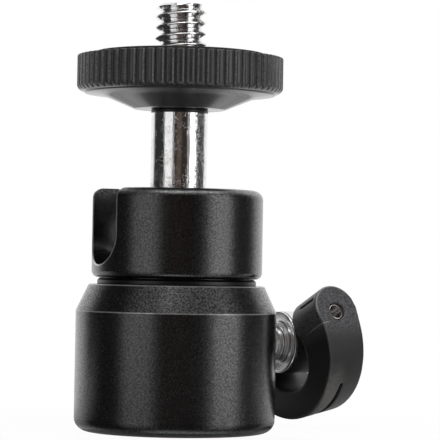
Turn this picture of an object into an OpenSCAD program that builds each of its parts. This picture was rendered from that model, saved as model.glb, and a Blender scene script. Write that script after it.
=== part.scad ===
// Small tripod ball head: a chromed ball and stem in a notched collar, a
// knurled disc on the camera stud, and a lock screw with a folding handle.
// Millimetres. +Z is up, the origin is the centre of the bottom face, and the
// lock screw points along +X. The collar's notch opens a little past -X.

/* [Body] */
// Diameter of the body
body_d = 24; // [23:0.5:28]
// Height of the body's straight wall
wall_h = 14.3; // [13.8:0.1:15.5]
// Height of the cone above the wall
shoulder_h = 3.2; // [2.8:0.1:4]
// Thickness of the wall at the top of the cone
shoulder_wall = 1.55; // [1.2:0.05:1.8]
// Radius of the rounded bottom edge
foot_round = 1.6; // [0.5:0.1:2.5]
// Thickness of the web between the base thread and the chamber
web_t = 0.6; // [0.4:0.1:1]

/* [Base insert] */
// Diameter of the hole for the 1/4-20 tripod screw
base_hole_d = 5.2; // [5.1:0.05:5.4]
// Outer diameter of the insert
insert_d = 9.2; // [8:0.1:12]
// Length of the insert
insert_len = 6.4; // [5.8:0.1:6.6]

/* [Collar] */
// Outer diameter of the collar
collar_d = 20.4; // [20:0.1:23]
// Height of the collar above the groove
collar_h = 10.6; // [10.2:0.1:11.7]
// Height of the groove that the washer fills
groove_h = 0.8; // [0.5:0.1:1.2]
// Width of the washer's ring in the groove
washer_w = 0.55; // [0.45:0.01:0.8]
// Diameter of the collar's spigot in the body
spigot_d = 17.8; // [17.4:0.1:18]
// Length of the spigot below the collar
spigot_len = 3.3; // [3:0.1:3.4]
// Radius of the collar's top edge
collar_round = 1.2; // [0.4:0.1:1.6]
// Radius of the collar's lower edge
collar_low_round = 0.8; // [0.4:0.1:0.9]
// Height of the collar's lip above the seat ring
lip_h = 2.3; // [2:0.1:2.5]
// How far the lip widens towards its top
lip_flare = 1.15; // [0.9:0.05:1.3]
// Height of the seat ring
seat_h = 2; // [1.2:0.1:2.4]

/* [Snap ring] */
// Thickness of the snap ring
clip_t = 0.6; // [0.4:0.1:0.8]
// How far the snap ring reaches into the body
clip_out = 0.35; // [0.2:0.05:0.5]
// How far the snap ring reaches into the spigot
clip_in = 0.6; // [0.4:0.05:0.8]
// Height of the snap ring above the spigot's end
clip_rise = 0.9; // [0.6:0.1:1.2]
// Gap in the snap ring, in degrees
clip_open = 30; // [10:1:60]

/* [Ball and stem] */
// Diameter of the ball
ball_d = 13; // [12.6:0.1:13.2]
// Height of the ball's centre above the collar's lower edge
ball_rise = 5.1; // [5:0.1:5.4]
// Diameter of the stem
stem_d = 6.76; // [6.4:0.02:7]
// Height of the stem's shoulder above the ball's centre
stem_h = 14.7; // [13:0.1:18]
// How far the stem's foot widens where it meets the ball
foot_flare = 0.12; // [0.05:0.01:0.2]

/* [Camera stud] */
// Diameter over the thread of the camera stud
stud_d = 6.2; // [6.1:0.02:6.35]
// Pitch of the stud's thread
stud_pitch = 1.27; // [1.27:0.01:1.5]
// Depth of the stud's thread
thread_depth = 0.62; // [0.4:0.02:0.8]
// Where a ridge's crest starts, as a share of the pitch
crest_start = 0.32; // [0.3:0.01:0.35]
// Where a ridge's crest ends, as a share of the pitch
crest_end = 0.56; // [0.5:0.01:0.6]
// Where a ridge ends, as a share of the pitch
ridge_end = 0.88; // [0.84:0.01:0.92]
// Diameter of the stud's plain core inside the disc
core_d = 5.8; // [5.4:0.1:6]
// Length of the stud above the disc's rim
stud_len = 6.3; // [6:0.1:7.5]
// Height of the smooth foot under the thread
relief_h = 0.2; // [0.1:0.05:0.4]
// Diameter of the smooth foot under the thread
relief_d = 5.2; // [5:0.1:6]
// Chamfer at the stud's tip
stud_chamfer = 0.5; // [0.3:0.05:0.55]
// Thickness of the washer under the disc
stem_washer_t = 0.35; // [0.2:0.05:0.6]
// Diameter of the washer under the disc
stem_washer_d = 6.84; // [6.8:0.02:7.6]

/* [Disc] */
// Diameter of the disc over its ribs
disc_d = 24.68; // [23:0.04:28]
// Height of the knurled rim
rim_h = 3.6; // [3:0.05:4.5]
// Height of the chamfer under the rim
rim_chamfer = 0.85; // [0.4:0.05:1]
// Width of the shallow ring under the rim
under_ring_w = 2.8; // [2:0.1:3.2]
// Height of the shallow ring under the rim
under_ring_h = 0.4; // [0.2:0.05:0.8]
// Diameter of the disc's lowest face
disc_foot_d = 10.9; // [10.6:0.1:14]
// Height of the cone under the disc
disc_cone_h = 1.45; // [1:0.05:2]
// Number of ribs around the rim
rib_count = 65; // [40:1:80]
// Width of the groove between two ribs
rib_gap = 0.4; // [0.3:0.02:0.5]
// Depth of the groove between two ribs
rib_depth = 0.4; // [0.2:0.05:0.6]
// Diameter of the threaded bush in the disc
disc_bush_d = 9.2; // [8.4:0.1:10]
// Length of the bush
disc_bush_len = 5; // [4:0.1:5.6]
// Diameter of the pad on the disc
pad_d = 20.4; // [18:0.1:22]
// Thickness of the pad
pad_t = 1; // [0.8:0.05:1.2]
// How far the pad stands above the rim
pad_proud = 0.45; // [0.2:0.05:0.6]
// Diameter of the pad's hole around the stud
pad_hole_d = 7; // [6.8:0.1:8]

/* [Lock screw] */
// Diameter of the screw's shaft
screw_d = 5; // [4.8:0.1:5.1]
// Height of the screw's axis above the chamber's floor
screw_rise = 3.6; // [3.4:0.1:3.8]
// Outer diameter of the bush in the wall
lock_bush_d = 6.4; // [6:0.1:7]
// How far the bush's end lies inside the wall
lock_bush_recess = 0.7; // [0.6:0.1:1.5]
// Gap between the body and the screw's flange
neck_len = 2.8; // [2.2:0.1:4]
// Diameter of the flange and the hub
hub_d = 7.6; // [7:0.1:8]
// Length of the hub with its flange
hub_len = 4.9; // [4.6:0.1:6]
// Thickness of the flange
flange_t = 0.3; // [0.2:0.05:0.5]
// Width of the groove behind the flange
hub_groove_w = 0.16; // [0.1:0.02:0.3]
// Depth of the groove behind the flange
hub_groove_depth = 0.4; // [0.2:0.05:0.6]
// Chamfer at the hub's end
hub_chamfer = 0.3; // [0.1:0.05:0.6]
// Diameter of the screw's nose
nose_d = 2.2; // [2:0.1:2.4]
// Length of the screw's nose
nose_len = 1.55; // [1.5:0.05:1.7]

/* [Handle] */
// Distance of the handle's pin from the flange
pin_x = 2.55; // [2.2:0.05:3]
// Diameter of the pin
pin_d = 2; // [1.6:0.1:2.4]
// How far the pin's ends lie inside the tips
pin_recess = 0.3; // [0.2:0.1:1.2]
// Width over the handle's tips
handle_w = 19.7; // [19:0.1:20.2]
// How far the tips' flat sides stand outside the round loop
tip_step = 0.25; // [0.15:0.05:0.4]
// Thickness of the loop at its bottom
loop_t = 3.25; // [2.8:0.05:3.8]
// Height of the loop's centre above the pin
loop_rise = 0.35; // [0:0.05:0.6]
// Angle at which the loop's curve meets the tip's side
tip_blend = 16; // [12:1:30]
// Diameter of the rounded tips
tip_d = 6; // [5.6:0.1:6.4]
// Thickness of the loop on its outer side of the pin
loop_out_t = 3.08; // [2.9:0.02:3.2]
// Thickness of the loop on its inner side of the pin
loop_in_t = 2.5; // [2:0.1:2.8]
// Distance below the pin at which the inner side reaches its thickness
loop_taper = 5; // [3:0.1:7]
// Distance below the pin at which the inner side leaves the round tip
tip_drop = 1.3; // [1:0.1:1.6]
// Gap between the hub and each tip
hub_gap = 0.65; // [0.5:0.05:0.9]
// Width of the slot in the loop's rim
rim_slot_w = 0.44; // [0.3:0.02:0.8]
// Depth of the slot in the loop's rim
rim_slot_depth = 0.5; // [0.3:0.1:1]
// Angle that the slot in the loop's rim spans
rim_slot_angle = 60; // [30:1:90]
// Thickness of the washers beside the hub
pivot_washer_t = 0.5; // [0.3:0.05:0.55]
// Width of the washers' ring
pivot_washer_w = 0.9; // [0.6:0.1:1.2]
// Turn of the screw, in degrees, from the handle's pin being level
screw_turn = 25; // [0:1:90]
// Lean of the handle away from the body, in degrees
handle_lean = 12; // [0:1:40]

/* [Clamp] */
// Slope of the wedge, in degrees
wedge_slope = 30; // [26:1:31]
// Height of the wedge's high end
wedge_h = 6.15; // [6:0.05:6.3]
// Length of the wedge
wedge_len = 8.6; // [7.6:0.1:9]
// Width of the wedge
wedge_w = 6; // [5:0.1:7]
// Distance from the axis to the wedge's high end
wedge_x = 4.4; // [4.2:0.1:4.6]
// Height of the lifter's top above the wedge's high end
lifter_top = 1.7; // [1.6:0.05:1.9]
// Height of the lifter's low edge above the chamber's floor
lifter_clear = 0.95; // [0.8:0.05:1.2]
// Height of the disc spring
spring_h = 0.8; // [0.6:0.05:1]
// Thickness of the disc spring
spring_t = 0.3; // [0.2:0.05:0.4]
// Diameter of the disc spring's hole
spring_hole_d = 6.4; // [5:0.1:8]
// Diameter of the ball cup's hole
cup_hole_d = 6; // [5:0.1:7]
// Height of the ball cup's rim above the ball's lowest point
cup_wrap = 2.7; // [2:0.1:2.8]
// Thickness of the nose clip
nose_clip_t = 0.34; // [0.26:0.02:0.4]
// Width of the nose clip
nose_clip_w = 3.6; // [3:0.1:4]
// How far the nose clip lies inside the wedge
nose_clip_inset = 0.93; // [0.88:0.01:0.98]
// How deep the nose clip's groove is cut into the nose
nose_clip_bite = 0.35; // [0.2:0.05:0.5]

/* [Fits] */
// Gap around a piece that turns or slides
running = 0.05; // [0.02:0.01:0.08]
// Gap around the cup and the lifter in the chamber
slide_gap = 0.07; // [0.03:0.01:0.09]
// Gap between the ball and the wall of its chamber
chamber_gap = 0.4; // [0.3:0.05:0.5]
// Gap under the collar's spigot
spigot_gap = 0.2; // [0.15:0.01:0.25]
// Gap beside the stem in the notch
notch_gap = 0.22; // [0.15:0.01:0.4]
// How far the collar is turned, so that its notch opens past -X
notch_turn = 8; // [0:1:20]
// Gap between the ball and the collar's lip
lip_gap = 0.3; // [0.2:0.05:0.4]
// Gap between parts that never touch
free_gap = 0.3; // [0.2:0.05:0.4]

/* [Hidden] */
$fn = 96;
eps = 0.01;
// How far a cut reaches past the piece it cuts
over = 1;
// Segments of the handle's round loop
loop_steps = 48;
// How far the arm's edge lies inside the round tip at the pin
arm_inset = 0.05;

body_r = body_d / 2;
ball_r = ball_d / 2;
stem_r = stem_d / 2;
stud_r = stud_d / 2;
core_r = core_d / 2;
disc_r = disc_d / 2;
hub_r = hub_d / 2;
pin_r = pin_d / 2;
spigot_r = spigot_d / 2;
socket_r = spigot_r + running;

// Heights, from the bottom up
chamber_z = insert_len + web_t;
screw_z = chamber_z + screw_rise;
body_top = wall_h + shoulder_h;
collar_z = body_top + groove_h;
collar_top = collar_z + collar_h;
spigot_z = collar_z - spigot_len;
spigot_floor = spigot_z - spigot_gap;
clip_z = spigot_z + clip_rise;
ball_z = collar_z + ball_rise;
seat_top = collar_top - lip_h;
shoulder_z = ball_z + stem_h;
disc_z = shoulder_z + stem_washer_t + running;
ring_z = disc_z + disc_cone_h + under_ring_h;
rim_z = ring_z + rim_chamfer;
disc_top = rim_z + rim_h;
pad_top = disc_top + pad_proud;
stud_top = disc_top + stud_len;

// Radii that fit one another
chamber_r = ball_r + chamber_gap;
sliding_r = chamber_r - slide_gap;
seat_r = ball_r + running;
notch_r = stem_r + notch_gap;
lip_r = sqrt(ball_r * ball_r - pow(seat_top - ball_z, 2)) + lip_gap;
lip_top_r = lip_r + lip_flare;

// The clamp
wedge_top = chamber_z + running + wedge_h;
lifter_z = wedge_top + lifter_top;
spring_z = lifter_z + eps;
cup_z = spring_z + spring_h + eps;
cup_top = ball_z - ball_r + cup_wrap;
nose_x = wedge_x - nose_len;
nose_clip_x = wedge_x - nose_clip_inset;

// The lock screw and the handle
flange_x = body_r + neck_len;
hub_end = flange_x + hub_len;
swing_x = flange_x + pin_x;
opening_half = hub_r + hub_gap;
tip_r = tip_d / 2;
handle_half = handle_w / 2;
loop_r = handle_half - tip_step;
opening_depth = loop_r - loop_rise - loop_t;

// Points of an arc around c, from angle a to angle b
function arc(c, r, a, b, n = 8) =
    [for (i = [0:n]) let (t = a + (b - a) * i / n) c + r * [cos(t), sin(t)]];

// Height of the wedge's slope at x
function slope_z(x) = wedge_top - (wedge_x - x) * tan(wedge_slope);

// Puts a shape drawn along +Z on the lock screw's axis, starting at x
module along_screw(x) {
    translate([x, 0, screw_z]) rotate([0, 90, 0]) children();
}

// Puts a shape drawn around the pin in place: x runs along the pin,
// y up the handle's arms and z away from the body
module at_pin(lean) {
    translate([swing_x, 0, screw_z])
        rotate([-screw_turn, 0, 0])
            rotate([90, 0, 90])
                rotate([-lean, 0, 0])
                    children();
}

module tube(outer_r, inner_r, h) {
    difference() {
        cylinder(r = outer_r, h = h);
        translate([0, 0, -over]) cylinder(r = inner_r, h = h + 2 * over);
    }
}

// The U-shaped notch of the collar, wider by gap on each side
module notch(gap = 0) {
    r = notch_r + gap;
    translate([0, 0, ball_z]) rotate([0, 0, -notch_turn]) {
        rotate([0, -90, 0]) cylinder(r = r, h = body_d);
        translate([-body_d, -r, 0]) cube([body_d, 2 * r, collar_h]);
    }
}

module body_shell() {
    groove_r = socket_r + clip_out;
    color("#2b2b2d") difference() {
        rotate_extrude() polygon(concat(
            [[insert_d / 2, 0]],
            arc([body_r - foot_round, foot_round], foot_round, -90, 0),
            [
                [body_r, wall_h],
                [socket_r + shoulder_wall, body_top],
                [socket_r, body_top],
                [socket_r, clip_z + clip_t + running],
                [groove_r, clip_z + clip_t + running],
                [groove_r, clip_z - running],
                [socket_r, clip_z - running],
                [socket_r, spigot_floor],
                [chamber_r, spigot_floor],
                [chamber_r, chamber_z],
                [0, chamber_z],
                [0, insert_len],
                [insert_d / 2, insert_len]
            ]
        ));
        along_screw(chamber_r / 2) cylinder(r = lock_bush_d / 2, h = body_r);
    }
}

module base_insert() {
    color("#8d8f92") tube(insert_d / 2, base_hole_d / 2, insert_len);
}

module lock_bush() {
    start = chamber_r + free_gap;
    color("#b08d4c") along_screw(start)
        tube(lock_bush_d / 2, screw_d / 2 + running, body_r - lock_bush_recess - start);
}

module collar_washer() {
    color("#1b1b1d") translate([0, 0, body_top])
        tube(socket_r + washer_w, socket_r, groove_h - running);
}

module collar_clip() {
    inner_r = spigot_r - clip_in;
    color("#77797c") translate([0, 0, clip_z])
        rotate([0, 0, clip_open / 2])
            rotate_extrude(angle = 360 - clip_open)
                translate([inner_r, 0])
                    square([clip_in + running + clip_out, clip_t]);
}

module collar() {
    groove_r = spigot_r - clip_in - running;
    collar_r = collar_d / 2;
    color("#2b2b2d") difference() {
        rotate_extrude() polygon(concat(
            [
                [chamber_r, spigot_z],
                [spigot_r, spigot_z],
                [spigot_r, clip_z - running],
                [groove_r, clip_z - running],
                [groove_r, clip_z + clip_t + running],
                [spigot_r, clip_z + clip_t + running],
                [spigot_r, collar_z]
            ],
            arc([collar_r - collar_low_round, collar_z + collar_low_round], collar_low_round, -90, 0, 4),
            arc([collar_r - collar_round, collar_top - collar_round], collar_round, 0, 90),
            [
                [lip_top_r, collar_top],
                [lip_r, seat_top],
                [chamber_r, seat_top]
            ]
        ));
        notch();
    }
}

module seat_ring() {
    color("#d8d6cf") difference() {
        translate([0, 0, seat_top - seat_h]) cylinder(r = chamber_r, h = seat_h);
        translate([0, 0, ball_z]) sphere(r = seat_r);
        notch(running);
    }
}

// Profile of the stud: one ridge with a flat crest for each turn of the thread
function ridge(z) = [
    [stud_r - thread_depth, z],
    [stud_r, z + crest_start * stud_pitch],
    [stud_r, z + crest_end * stud_pitch],
    [stud_r - thread_depth, z + ridge_end * stud_pitch]
];

module ball_stem() {
    thread_z = disc_top + relief_h;
    turns = floor((stud_top - stud_chamfer - thread_z) / stud_pitch - crest_start);
    foot_r = stem_r + foot_flare;
    foot_z = ball_z + sqrt(ball_r * ball_r - foot_r * foot_r);
    color("#c9cacc") union() {
        translate([0, 0, ball_z]) sphere(r = ball_r);
        rotate_extrude() polygon(concat(
            [
                [0, ball_z],
                [foot_r, ball_z],
                [foot_r, foot_z],
                [stem_r, foot_z + 2 * foot_flare],
                [stem_r, shoulder_z],
                [core_r, shoulder_z],
                [core_r, disc_top - eps],
                [relief_d / 2, disc_top - eps],
                [relief_d / 2, thread_z]
            ],
            [for (i = [0:turns - 1]) each ridge(thread_z + i * stud_pitch)],
            [
                [stud_r - thread_depth, thread_z + turns * stud_pitch],
                [stud_r, thread_z + (turns + crest_start) * stud_pitch],
                [stud_r, stud_top - stud_chamfer],
                [stud_r - stud_chamfer, stud_top],
                [0, stud_top]
            ]
        ));
    }
}

module stem_washer() {
    color("#252527") translate([0, 0, shoulder_z])
        tube(stem_washer_d / 2, core_r, stem_washer_t);
}

module disc_bush() {
    color("#b08d4c") translate([0, 0, disc_z + free_gap])
        tube(disc_bush_d / 2, stud_r + running, disc_bush_len);
}

module disc() {
    ring_r = disc_r - rim_chamfer;
    cone_r = ring_r - under_ring_w;
    recess_z = pad_top - pad_t;
    bush_r = disc_bush_d / 2 + running;
    color("#1d1d1f") difference() {
        rotate_extrude() polygon([
            [stud_r + running, disc_z],
            [disc_foot_d / 2, disc_z],
            [cone_r, disc_z + disc_cone_h],
            [ring_r, ring_z],
            [disc_r, rim_z],
            [disc_r, disc_top],
            [pad_d / 2, disc_top],
            [pad_d / 2, recess_z],
            [bush_r, recess_z],
            [bush_r, disc_z + free_gap - running],
            [stud_r + running, disc_z + free_gap - running]
        ]);
        for (i = [0:rib_count - 1])
            rotate([0, 0, 360 * i / rib_count])
                translate([disc_r - rib_depth, -rib_gap / 2, ring_z])
                    cube([rib_depth + over, rib_gap, disc_top]);
    }
}

module disc_pad() {
    color("#222224") translate([0, 0, pad_top - pad_t])
        tube(pad_d / 2, pad_hole_d / 2, pad_t);
}

module lock_screw() {
    nose_r = nose_d / 2;
    clip_r = nose_r - nose_clip_bite;
    clip_x = nose_clip_x - running;
    groove_x = flange_x + flange_t;
    shaft_r = screw_d / 2;
    color("#c9cacc") difference() {
        translate([0, 0, screw_z]) rotate([0, 90, 0]) rotate_extrude() polygon([
            [0, nose_x + running],
            [nose_r, nose_x + running],
            [nose_r, clip_x],
            [clip_r, clip_x],
            [clip_r, clip_x + nose_clip_t + 2 * running],
            [nose_r, clip_x + nose_clip_t + 2 * running],
            [nose_r, wedge_x + running],
            [shaft_r, wedge_x + running],
            [shaft_r, flange_x],
            [hub_r, flange_x],
            [hub_r, groove_x],
            [hub_r - hub_groove_depth, groove_x],
            [hub_r - hub_groove_depth, groove_x + hub_groove_w],
            [hub_r, groove_x + hub_groove_w],
            [hub_r, hub_end - hub_chamfer],
            [hub_r - hub_chamfer, hub_end],
            [0, hub_end]
        ]);
        at_pin(0) rotate([0, 90, 0])
            translate([0, 0, -hub_d]) cylinder(r = pin_r, h = 2 * hub_d);
    }
}

module lock_pin() {
    len = handle_w - 2 * pin_recess;
    color("#a9abae") at_pin(0) rotate([0, 90, 0])
        translate([0, 0, -len / 2]) cylinder(r = pin_r, h = len);
}

module pivot_washers() {
    start = opening_half - running - pivot_washer_t;
    color("#8d8f92") at_pin(0)
        for (side = [0, 1]) mirror([side, 0, 0])
            translate([start, 0, 0]) rotate([0, 90, 0])
                tube(pin_r + pivot_washer_w, pin_r, pivot_washer_t);
}

// Front outline of the handle: flat tips that run into the round loop
module handle_front() {
    c = [0, loop_rise];
    blend_y = loop_rise - loop_r * sin(tip_blend)
        + (handle_half - loop_r * cos(tip_blend)) / tan(tip_blend);
    difference() {
        polygon(concat(
            [[-handle_half, tip_d], [-handle_half, blend_y]],
            arc(c, loop_r, tip_blend - 180, -tip_blend, loop_steps),
            [[handle_half, blend_y], [handle_half, tip_d]]
        ));
        translate([0, opening_half - opening_depth]) circle(r = opening_half);
        translate([-opening_half, opening_half - opening_depth])
            square([2 * opening_half, opening_depth + tip_d]);
    }
}

// Side outline of the handle, with x away from the body and y up the arms:
// a round tip and an arm that is thinner towards the body
module handle_side() {
    low = loop_rise - loop_r - over;
    circle(r = tip_r);
    polygon([
        [-sqrt(tip_r * tip_r - tip_drop * tip_drop), -tip_drop],
        [-loop_in_t, -loop_taper],
        [-loop_in_t, low],
        [loop_out_t, low],
        [loop_out_t, -tip_r],
        [tip_r - arm_inset, 0]
    ]);
}

module handle() {
    color("#1a1a1c") at_pin(handle_lean) difference() {
        intersection() {
            translate([0, 0, -tip_d]) linear_extrude(2 * tip_d) handle_front();
            translate([-handle_w, 0, 0]) rotate([0, 90, 0])
                linear_extrude(2 * handle_w) mirror([1, 0]) handle_side();
        }
        translate([-handle_w, 0, 0]) rotate([0, 90, 0])
            cylinder(r = pin_r + running, h = 2 * handle_w);
        translate([0, loop_rise, -rim_slot_w / 2])
            rotate([0, 0, 270 - rim_slot_angle / 2])
                rotate_extrude(angle = rim_slot_angle)
                    translate([loop_r - rim_slot_depth, 0])
                        square([rim_slot_depth + over, rim_slot_w]);
    }
}

module wedge() {
    nose_r = nose_d / 2 + running;
    low_x = wedge_x - wedge_len;
    clip_half = nose_clip_w / 2;
    color("#8d8f92") difference() {
        translate([0, wedge_w / 2, 0]) rotate([90, 0, 0]) linear_extrude(wedge_w) polygon([
            [low_x, chamber_z + running],
            [wedge_x, chamber_z + running],
            [wedge_x, wedge_top],
            [low_x, slope_z(low_x)]
        ]);
        along_screw(nose_x) cylinder(r = nose_r, h = nose_len + over);
        translate([nose_clip_x, -clip_half, screw_z - nose_d / 2 - free_gap])
            cube([nose_clip_t, nose_clip_w, wedge_h]);
    }
}

module nose_clip() {
    clip_half = nose_clip_w / 2;
    low_z = screw_z - nose_d / 2 - free_gap;
    bite_r = nose_d / 2 - nose_clip_bite + running;
    color("#77797c") difference() {
        translate([nose_clip_x, -clip_half, low_z])
            cube([nose_clip_t, nose_clip_w, slope_z(nose_clip_x) - free_gap - low_z]);
        along_screw(nose_clip_x - over) cylinder(r = bite_r, h = nose_clip_t + 2 * over);
        translate([nose_clip_x - over, -bite_r, low_z - over])
            cube([nose_clip_t + 2 * over, 2 * bite_r, screw_z - low_z + over]);
    }
}

module lifter() {
    far = 2 * chamber_r;
    low_z = chamber_z + lifter_clear;
    color("#9a9ca0") difference() {
        translate([0, 0, low_z]) cylinder(r = sliding_r, h = lifter_z - low_z);
        translate([0, far, running]) rotate([90, 0, 0]) linear_extrude(2 * far) polygon([
            [-far, slope_z(-far)],
            [far, slope_z(far)],
            [far, slope_z(-far)]
        ]);
    }
}

module cup_spring() {
    outer_r = sliding_r - free_gap;
    inner_r = spring_hole_d / 2;
    color("#77797c") rotate_extrude() polygon([
        [outer_r - spring_t, spring_z],
        [outer_r, spring_z],
        [outer_r, spring_z + spring_t],
        [inner_r + spring_t, spring_z + spring_h],
        [inner_r, spring_z + spring_h],
        [inner_r, spring_z + spring_h - spring_t]
    ]);
}

module ball_cup() {
    color("#d8d6cf") difference() {
        translate([0, 0, cup_z]) cylinder(r = sliding_r, h = cup_top - cup_z);
        translate([0, 0, ball_z]) sphere(r = seat_r);
        translate([0, 0, cup_z - over]) cylinder(r = cup_hole_d / 2, h = cup_top);
    }
}

body_shell();
base_insert();
lock_bush();
collar_washer();
collar_clip();
collar();
seat_ring();
ball_stem();
stem_washer();
disc_bush();
disc();
disc_pad();
lock_screw();
lock_pin();
pivot_washers();
handle();
wedge();
nose_clip();
lifter();
cup_spring();
ball_cup();
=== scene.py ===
import math

import bmesh
import bpy
from mathutils import Matrix, Vector


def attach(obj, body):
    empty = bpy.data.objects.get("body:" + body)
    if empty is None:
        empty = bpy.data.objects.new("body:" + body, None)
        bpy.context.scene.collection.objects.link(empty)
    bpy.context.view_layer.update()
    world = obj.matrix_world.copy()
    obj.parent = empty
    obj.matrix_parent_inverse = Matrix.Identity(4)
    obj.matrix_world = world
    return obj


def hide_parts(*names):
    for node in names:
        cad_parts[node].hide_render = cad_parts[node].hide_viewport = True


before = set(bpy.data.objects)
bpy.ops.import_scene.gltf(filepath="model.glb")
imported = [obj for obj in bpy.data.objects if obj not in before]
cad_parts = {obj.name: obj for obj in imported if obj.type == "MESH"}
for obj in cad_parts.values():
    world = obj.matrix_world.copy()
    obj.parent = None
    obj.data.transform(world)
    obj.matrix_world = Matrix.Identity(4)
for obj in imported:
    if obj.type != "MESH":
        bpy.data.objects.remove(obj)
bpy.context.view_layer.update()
print("frame loaded:", len(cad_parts), "nodes")

mm = 0.001
zAxis = (0, 0, 1)
origin = (0, 0, 0)
materials = {}      # the finishes by name, each made beside the piece that wears it first


class Wire:
    # a socket that takes part in Python expressions; each operator adds its Math node
    def __init__(self, tree, socket=None):
        self.tree = tree
        self.socket = socket

    def plug(self, socket, value):
        if isinstance(value, Wire):
            self.tree.links.new(value.socket, socket)
        else:
            socket.default_value = value

    def node(self, kind, settings=None, values=None, out=0):
        made = self.tree.nodes.new(kind)
        for key, value in (settings or {}).items():
            if key == "stops":
                ramp = made.color_ramp
                while len(ramp.elements) < len(value):
                    ramp.elements.new(0.5)
                for stop, (place, shade) in zip(ramp.elements, value):
                    stop.position = place
                    stop.color = (*shade, 1)
            else:
                setattr(made, key, value)
        for key, value in (values or {}).items():
            self.plug(made.inputs[key], value)
        return Wire(self.tree, made.outputs[out])

    def math(self, operation, a, b=0.0, clamp=False):
        return self.node("ShaderNodeMath", {"operation": operation, "use_clamp": clamp}, {0: a, 1: b})

    def __add__(self, other):
        return self.math("ADD", self, other)

    def __radd__(self, other):
        return self.math("ADD", other, self)

    def __sub__(self, other):
        return self.math("SUBTRACT", self, other)

    def __rsub__(self, other):
        return self.math("SUBTRACT", other, self)

    def __mul__(self, other):
        return self.math("MULTIPLY", self, other)

    def __rmul__(self, other):
        return self.math("MULTIPLY", other, self)

    def __truediv__(self, other):
        return self.math("DIVIDE", self, other)

    def __abs__(self):
        return self.math("ABSOLUTE", self)

    def clamped(self):
        return self.math("ADD", self, 0.0, clamp=True)

    def over(self, low, high):
        # 0 at low and 1 at high, smooth between them
        return self.node("ShaderNodeMapRange", {"interpolation_type": "SMOOTHSTEP"},
                         {"Value": self, "From Min": low, "From Max": high})

    def line(self, place, half):
        # 1 at place, falling to 0 at half away from it
        return (1 - abs(self - place) / half).clamped()

    def length(self, a, b):
        return self.math("SQRT", a * a + b * b)

    def mixed(self, low, high):
        # between two colours, each red, green and blue or a wire, by this value
        low, high = (end if isinstance(end, Wire) else (*end, 1) for end in (low, high))
        return self.node("ShaderNodeMix", {"data_type": "RGBA"}, {0: self, 6: low, 7: high}, out=2)


def objectPlace(wire):
    # where a point lies on its piece, in millimetres
    place = wire.node("ShaderNodeTexCoord", out="Object")
    return wire.node("ShaderNodeVectorMath", {"operation": "SCALE"}, {0: place, "Scale": 1 / mm})


def newMaterial(name, constants):
    material = bpy.data.materials.new(name)
    material.use_nodes = True
    tree = material.node_tree
    shader = tree.nodes["Principled BSDF"]
    for key, value in constants.items():
        shader.inputs[key].default_value = value
    wire = Wire(tree)
    return material, shader, wire, objectPlace(wire)


def noise(wire, place, scale, detail=2.0, roughness=0.5, stretch=None):
    if stretch:
        place = wire.node("ShaderNodeVectorMath", {"operation": "MULTIPLY"}, {0: place, 1: stretch})
    return wire.node("ShaderNodeTexNoise", {}, {"Vector": place, "Scale": scale, "Detail": detail,
                                                "Roughness": roughness})


def parts(wire, place):
    # a vector's x, y and z, each a value of its own
    split = wire.node("ShaderNodeSeparateXYZ", {}, {0: place}).socket.node
    return [Wire(wire.tree, split.outputs[i]) for i in range(3)]


def bump(wire, shader, height, distance, strength=1.0):
    normal = wire.node("ShaderNodeBump", {}, {"Height": height, "Distance": distance * mm,
                                              "Strength": strength})
    wire.plug(shader.inputs["Normal"], normal)


def nylonMaterial(name, dark, light, roughness, grainScale):
    material, shader, wire, place = newMaterial(name, {"IOR": 1.5})
    grain = noise(wire, place, grainScale, 3.0, 0.65)
    cloud = noise(wire, place, 0.5, 2.0)
    wire.plug(shader.inputs["Base Color"], (grain * 0.7 + cloud * 0.3).over(0.3, 0.7).mixed(dark, light))
    wire.plug(shader.inputs["Roughness"], roughness + 0.12 * (grain - 0.5))
    bump(wire, shader, grain, 0.015, 0.6)
    return material


def platingFlaws(wire, place, axes, fleck):
    # pits all over, and a rash of them low on the stem and on the side that fleck names in degrees
    dots = noise(wire, place, 2.6, 1.0).over(0.66, 0.74)
    flaw = noise(wire, place, 5.0, 2.0, 0.7).over(0.58, 0.66)
    dots = wire.math("MAXIMUM", dots, flaw * noise(wire, place, 0.6, 2.0).over(0.42, 0.6))
    if fleck is None:
        return dots, None
    x, y, z = axes
    toward = x * math.cos(math.radians(fleck)) + y * math.sin(math.radians(fleck))
    flat = wire.math("SQRT", x * x + y * y + 1e-6)
    side = (toward / flat).over(0.95, 0.985) * noise(wire, place, 0.5, 2.0).over(0.38, 0.5)
    low = z.over(31.5, 29.5) * noise(wire, place, 1.1, 2.0).over(0.4, 0.6)
    rash = noise(wire, place, 3.6, 3.0, 0.75).over(0.45, 0.52) * wire.math("MAXIMUM", side, low * 0.5)
    return wire.math("MAXIMUM", dots, rash), rash


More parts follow.
